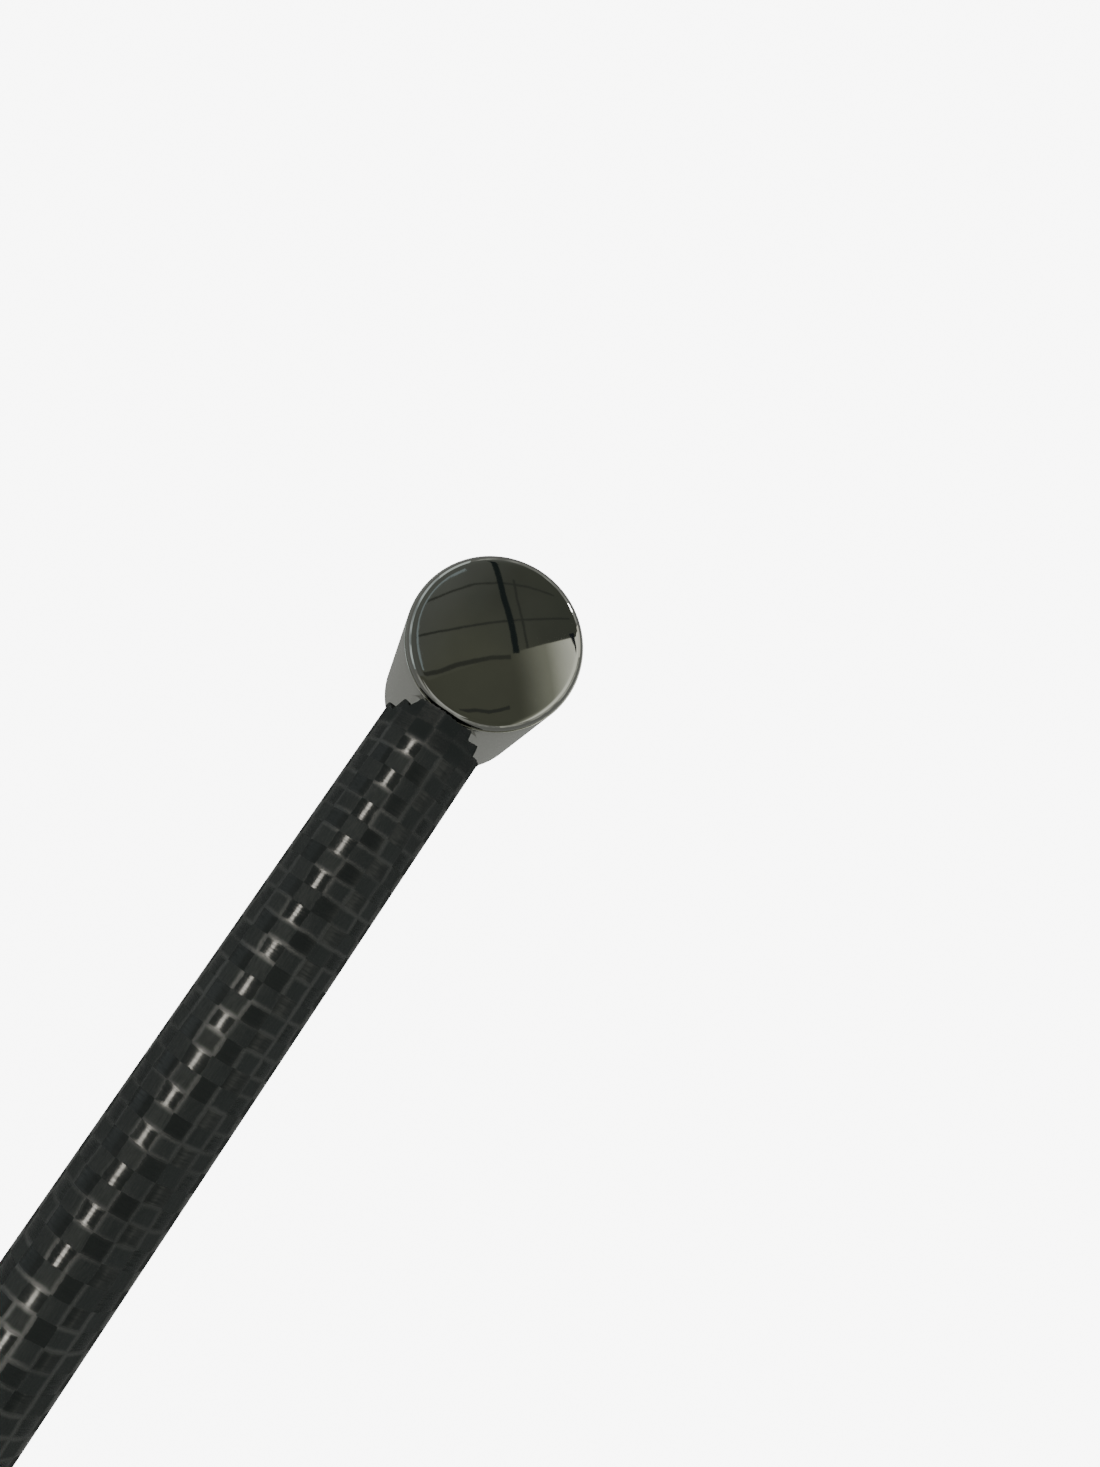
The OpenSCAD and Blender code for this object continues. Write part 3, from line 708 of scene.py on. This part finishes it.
def sewing(cover, count):
    """Piping where the side meets the top panel, and two rows of stitches that follow the simulated surface."""
    pts = [v.co.copy() for v in cover.data.vertices]

    def ring(level, t, out):
        loop = []
        for k in range(count):
            a, b = pts[level * count + k], pts[(level + 1) * count + k]
            p = a.lerp(b, t)
            ahead = pts[level * count + (k + 1) % count]
            behind = pts[level * count + k - 1]
            n = (ahead - behind).cross(b - a).normalized()
            if n.dot(Vector((p.x, p.y * PAD_W / PAD_L, 0))) < 0:
                n = -n
            loop.append(p + n * out)
        return loop

    piping = tube_along("pad_piping", ring(10, 0.15, 0.15 * MM), 0.85 * MM, MATERIALS["cover_fabric"])
    verts, faces = [], []
    for level, t in ((9, 0.35), (5, 0.3)):
        loop = ring(level, t, 0.12 * MM)
        for i in range(0, count, 2):
            a, b = loop[i], loop[(i + 1) % count]
            mid, half = (a + b) / 2, (b - a) * 0.42
            tangent = half.normalized()
            up = Vector((0, 0, 1))
            out = tangent.cross(up).normalized()
            base = len(verts)
            for s, thick in ((-1.0, 0.12), (-0.7, 0.26), (0.0, 0.32), (0.7, 0.26), (1.0, 0.12)):
                c = mid + half * s
                for q in range(6):
                    w = math.tau * q / 6
                    verts.append(c + (out * math.cos(w) + up * math.sin(w)) * thick * MM)
            for r in range(4):
                for q in range(6):
                    m = (q + 1) % 6
                    faces.append((base + r * 6 + q, base + (r + 1) * 6 + q, base + (r + 1) * 6 + m, base + r * 6 + m))
            faces.append(tuple(base + q for q in range(6)))
            faces.append(tuple(base + 24 + q for q in reversed(range(6))))
    stitches = add_mesh("pad_stitches", verts, faces, thread("stitch_thread", (0.42, 0.43, 0.44)))
    for piece in (piping, stitches):
        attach(piece, "head")


# ---------------------------------------------------------------- stage, light and camera

def emitter(name, colour, strength=1.0):
    g = Graph(name)
    g.tree.nodes.remove(g.bsdf)
    glow = g.node("Emission", {"Color": colour, "Strength": strength})
    g.tree.links.new(glow.outputs[0], g.out.inputs[0])
    return g.material


def card(name, centre, across, up, colour, strength=1.0):
    """A panel seen only in reflections, given by its centre and two half-edges."""
    c, a, u = Vector(centre), Vector(across), Vector(up)
    corners = [c - a - u, c + a - u, c + a + u, c - a + u]
    only_reflected(add_mesh(name, corners, [(0, 1, 2, 3)], emitter(name, colour, strength), False))


def only_reflected(obj):
    obj.visible_camera = obj.visible_diffuse = obj.visible_shadow = False
    obj.visible_transmission = obj.visible_volume_scatter = False


def area_light(name, place, target, size, size_y, power, colour=(1, 1, 1)):
    lamp = bpy.data.lights.new(name, "AREA")
    lamp.shape = "RECTANGLE"
    lamp.size, lamp.size_y = size, size_y
    lamp.energy = power
    lamp.color = colour
    obj = bpy.data.objects.new(name, lamp)
    bpy.context.scene.collection.objects.link(obj)
    obj.location = place
    obj.rotation_mode = "QUATERNION"
    obj.rotation_quaternion = (Vector(target) - Vector(place)).to_track_quat("-Z", "Y")
    return obj


def stage():
    g = Graph("studio_floor")
    place = g.coords()
    g.finish(Base_Color=g.mix(g.noise(place, 1.2, 2.0), (0.86, 0.86, 0.86), (0.90, 0.90, 0.895)), Roughness=0.9,
             Specular_IOR_Level=0.0, Emission_Color=(1.0, 1.0, 0.995), Emission_Strength=2.2)
    size = 14.0
    floor = add_mesh("studio_floor", [(-size, -size, -0.0002), (size, -size, -0.0002), (size, size, -0.0002),
                                      (-size, size, -0.0002)], [(0, 1, 2, 3)], g.material, False)
    # This ground lights the object and isn't seen. The white one in the same place is seen and lights nothing.
    floor.visible_camera = False
    seen = Graph("white_ground")
    seen.finish(Base_Color=seen.mix(seen.noise(seen.coords(), 1.2, 2.0), (0.86, 0.86, 0.86), (0.90, 0.90, 0.895)),
                Roughness=0.9, Specular_IOR_Level=0.0, Emission_Color=(1.0, 1.0, 0.998), Emission_Strength=5.0)
    ground = add_mesh("white_ground", [(-size, -size, -0.0002), (size, -size, -0.0002), (size, size, -0.0002),
                                       (-size, size, -0.0002)], [(0, 1, 2, 3)], seen.material, False)
    ground.visible_diffuse = ground.visible_glossy = False
    world = bpy.data.worlds.new("studio")
    bpy.context.scene.world = world
    world.use_nodes = True
    world.node_tree.nodes["Background"].inputs[0].default_value = (1.0, 1.0, 0.995, 1.0)
    world.node_tree.nodes["Background"].inputs[1].default_value = 1.7

    # A dim room that only reflections see: an olive ceiling with beams and a lit bay, grey walls and a grey floor.
    x, y, top = KNOB_X, 0.0, 3.0
    above = top + 0.04
    quad = [(x - 6, y - 6, above), (x + 6, y - 6, above), (x + 6, y + 6, above), (x - 6, y + 6, above)]
    only_reflected(add_mesh("room_ceiling", quad, [(0, 1, 2, 3)], ceiling_glow(), False))
    card("room_floor", (x, y, -0.0001), (6, 0, 0), (0, 6, 0), (0.305, 0.310, 0.294))
    wall("room_wall_knob", (x + 6, y, 1.5), (0, 6, 0), (0.62, 0.63, 0.59), 0.55)
    wall("room_wall_head", (x - 6, y, 1.5), (0, 6, 0), (0.50, 0.50, 0.47), 0.45)
    wall("room_wall_left", (x, y + 6, 1.5), (6, 0, 0), (0.88, 0.97, 0.98), 0.40)
    wall("room_wall_right", (x, y - 6, 1.5), (6, 0, 0), (0.72, 0.72, 0.65), 0.50)
    faint, dark = (0.080, 0.086, 0.074), (0.030, 0.040, 0.040)
    beam("room_beam_a", [(1.25, 1.20), (1.80, 0.62), (2.23, 0.20), (2.80, -0.38), (3.39, -0.95)], 0.040, top, faint)
    beam("room_beam_b", [(1.85, 1.45), (2.35, 1.13), (2.72, 0.88), (3.06, 0.50), (3.35, 0.06), (3.60, -0.45)], 0.045,
         top, faint)
    beam("room_beam_c", [(3.30, 0.36), (2.92, 0.10), (2.51, -0.25), (2.20, -0.52)], 0.045, top, faint)
    beam("room_beam_d", [(0.70, 0.78), (1.02, 0.46), (1.24, 0.31), (1.45, 0.11), (1.68, -0.11), (1.88, -0.36)], 0.075,
         top, (0.085, 0.090, 0.075))
    beam("room_beam_e", [(0.62, -0.14), (0.80, -0.37), (0.90, -0.57), (1.03, -0.70), (1.17, -0.82)], 0.060, top,
         (0.075, 0.080, 0.070))
    beam("room_cross_beam", [(3.95, 1.30), (3.27, 0.70), (2.80, 0.33), (2.52, 0.06), (2.28, -0.16), (1.99, -0.40)],
         0.115, top - 0.01, dark)
    card("room_window", (x - 4.4, 0.6, top - 0.1), (1.5, 0, 0), (0, 1.6, 0), (0.9, 0.9, 0.86))
    card("room_bulb", (3.87, -1.12, 0.80), (0.05, 0.12, 0.0), (0.0, 0.0, 0.30), (1.0, 1.0, 0.97), 30.0)
    beam("room_door", [(3.10, -1.10), (3.00, -1.25), (2.96, -1.42), (2.96, -1.62)], 0.13, top - 0.02,
         (0.030, 0.035, 0.042))
    card("room_left_window", (3.10, 2.25, 0.65), (-0.42, 0.36, 0.0), (0.0, 0.0, 0.80), (1.25, 1.36, 1.33))
    beam("room_sky_line", [(2.95, 1.20), (2.62, 1.36), (2.36, 1.43), (2.10, 1.44), (1.84, 1.41), (1.59, 1.33),
                           (1.36, 1.20), (1.17, 1.06), (1.00, 0.90), (0.84, 0.74)], 0.080, top - 0.02,
         (0.44, 0.51, 0.53))
    card("room_side_window", (3.45, -2.06, 0.85), (0.33, 0.37, 0.0), (0.0, 0.0, 0.75), (1.50, 1.48, 1.30))
    strip = area_light("strip", (0.62, 0.62, 1.30), (0.62, 0.0, 0.06), 2.2, 0.18, 62.0, (1.0, 0.95, 0.85))
    strip.visible_diffuse = False
    left_out = bpy.data.collections.new("not_lit_by_strip")
    strip.light_linking.receiver_collection = left_out
    area_light("soft_side", (0.3, 2.0, 1.8), (0.7, 0.0, 0.0), 1.6, 1.6, 22.0).visible_glossy = False
    return left_out


def ceiling_glow():
    """An olive ceiling: a little cooler on the left, and a lit bay that begins at a sharp edge and brightens away."""
    g = Graph("room_ceiling")
    g.tree.nodes.remove(g.bsdf)
    x, y, _ = g.split(g.coords())
    away = g.math("MULTIPLY", g.math("SUBTRACT", x, y), 0.7071)
    behind_edge = g.math("ADD", g.math("MULTIPLY", g.math("SUBTRACT", x, 2.01), -0.601),
                         g.math("MULTIPLY", g.math("ADD", y, 0.38), -0.799))
    in_bay = g.ramp(behind_edge, -0.004, 0.004)
    left = g.smooth(y, 0.2, 1.6)
    far = g.smooth(x, 1.6, 2.8)
    plain = g.mix(far, (0.165, 0.172, 0.132), (0.120, 0.128, 0.105))
    plain = g.mix(left, plain, (0.205, 0.215, 0.195))
    lit = g.mix(g.smooth(away, 1.55, 2.35), (0.150, 0.156, 0.118), (0.47, 0.48, 0.39))
    lit = g.mix(g.ramp(away, 2.30, 3.10), lit, (1.7, 1.7, 1.5))
    colour = g.mix(in_bay, plain, lit)
    cloud = g.noise(g.coords(), 0.9, 3.0)
    glow = g.node("Emission", {"Color": colour, "Strength": g.math("MULTIPLY_ADD", cloud, 0.35, 0.83)})
    g.tree.links.new(glow.outputs[0], g.out.inputs[0])
    return g.material


def wall(name, centre, across, colour, bands):
    """A wall of uneven brightness, seen only in reflections."""
    g = Graph(name)
    g.tree.nodes.remove(g.bsdf)
    streaks = g.noise(g.stretched(g.coords(), (1.0, 1.0, 0.25)), bands, 3.0, 0.6)
    tint = g.mix(g.smooth(streaks, 0.38, 0.62), [c * 0.55 for c in colour], [c * 1.30 for c in colour])
    glow = g.node("Emission", {"Color": tint, "Strength": 1.0})
    g.tree.links.new(glow.outputs[0], g.out.inputs[0])
    c, a, u = Vector(centre), Vector(across), Vector((0, 0, 1.6))
    only_reflected(add_mesh(name, [c - a - u, c + a - u, c + a + u, c - a + u], [(0, 1, 2, 3)], g.material, False))


def beam(name, points, width, height, colour):
    """A ceiling beam along a bent line."""
    left, right = [], []
    for i, p in enumerate(points):
        a, b = Vector(points[max(0, i - 1)]), Vector(points[min(len(points) - 1, i + 1)])
        across = Vector((a.y - b.y, b.x - a.x)).normalized() * width / 2
        left.append(Vector(p) + across)
        right.append(Vector(p) - across)
    verts = [(q.x, q.y, height) for q in left + right]
    n = len(points)
    faces = [(i, i + 1, n + i + 1, n + i) for i in range(n - 1)]
    only_reflected(add_mesh(name, verts, faces, emitter(name, colour), False))


def camera():
    """Stands over the handle close to the knob and looks down at its face."""
    right = Vector((0.52855, -0.82300, 0.20810))
    down = Vector((-0.81539, -0.56039, -0.14526))
    forward = Vector((0.23617, -0.09290, -0.96726))
    data = bpy.data.cameras.new("camera")
    data.sensor_width = 36.0
    data.lens = 27.06
    data.clip_start, data.clip_end = 0.01, 60.0
    obj = bpy.data.objects.new("camera", data)
    bpy.context.scene.collection.objects.link(obj)
    place = Vector((KNOB_X - 0.070526, 0.001594, AXIS_Z + 0.257001))
    turn = Matrix((right, -down, -forward)).transposed().to_4x4()
    obj.matrix_world = Matrix.Translation(place) @ turn
    bpy.context.scene.camera = obj


# ---------------------------------------------------------------- assembly

SLOT_OF = {row["node"]: row["material_slot"] for row in frame["record"]["subparts"]}
for node_name, node_obj in frame["nodes"].items():
    look = MATERIALS[SLOT_OF[node_name]]
    for i in range(max(1, len(node_obj.material_slots))):
        if len(node_obj.material_slots) == 0:
            node_obj.data.materials.append(look)
        else:
            node_obj.material_slots[i].material = look

camera()
not_lit = stage()
woven_tube()
plug = frame["nodes"]["knob_plug"]
plug.material_slots[0].material = BARREL_METAL
for part in (*knob(), plug):
    not_lit.objects.link(part)
for entry in not_lit.collection_objects:
    entry.light_linking.link_state = "EXCLUDE"
fabric, around_count = pad_cover()
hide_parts("pad_cover")
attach(fabric, "head")
core = foam_core()
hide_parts("pad_foam")
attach(core, "head")
sewing(fabric, around_count)
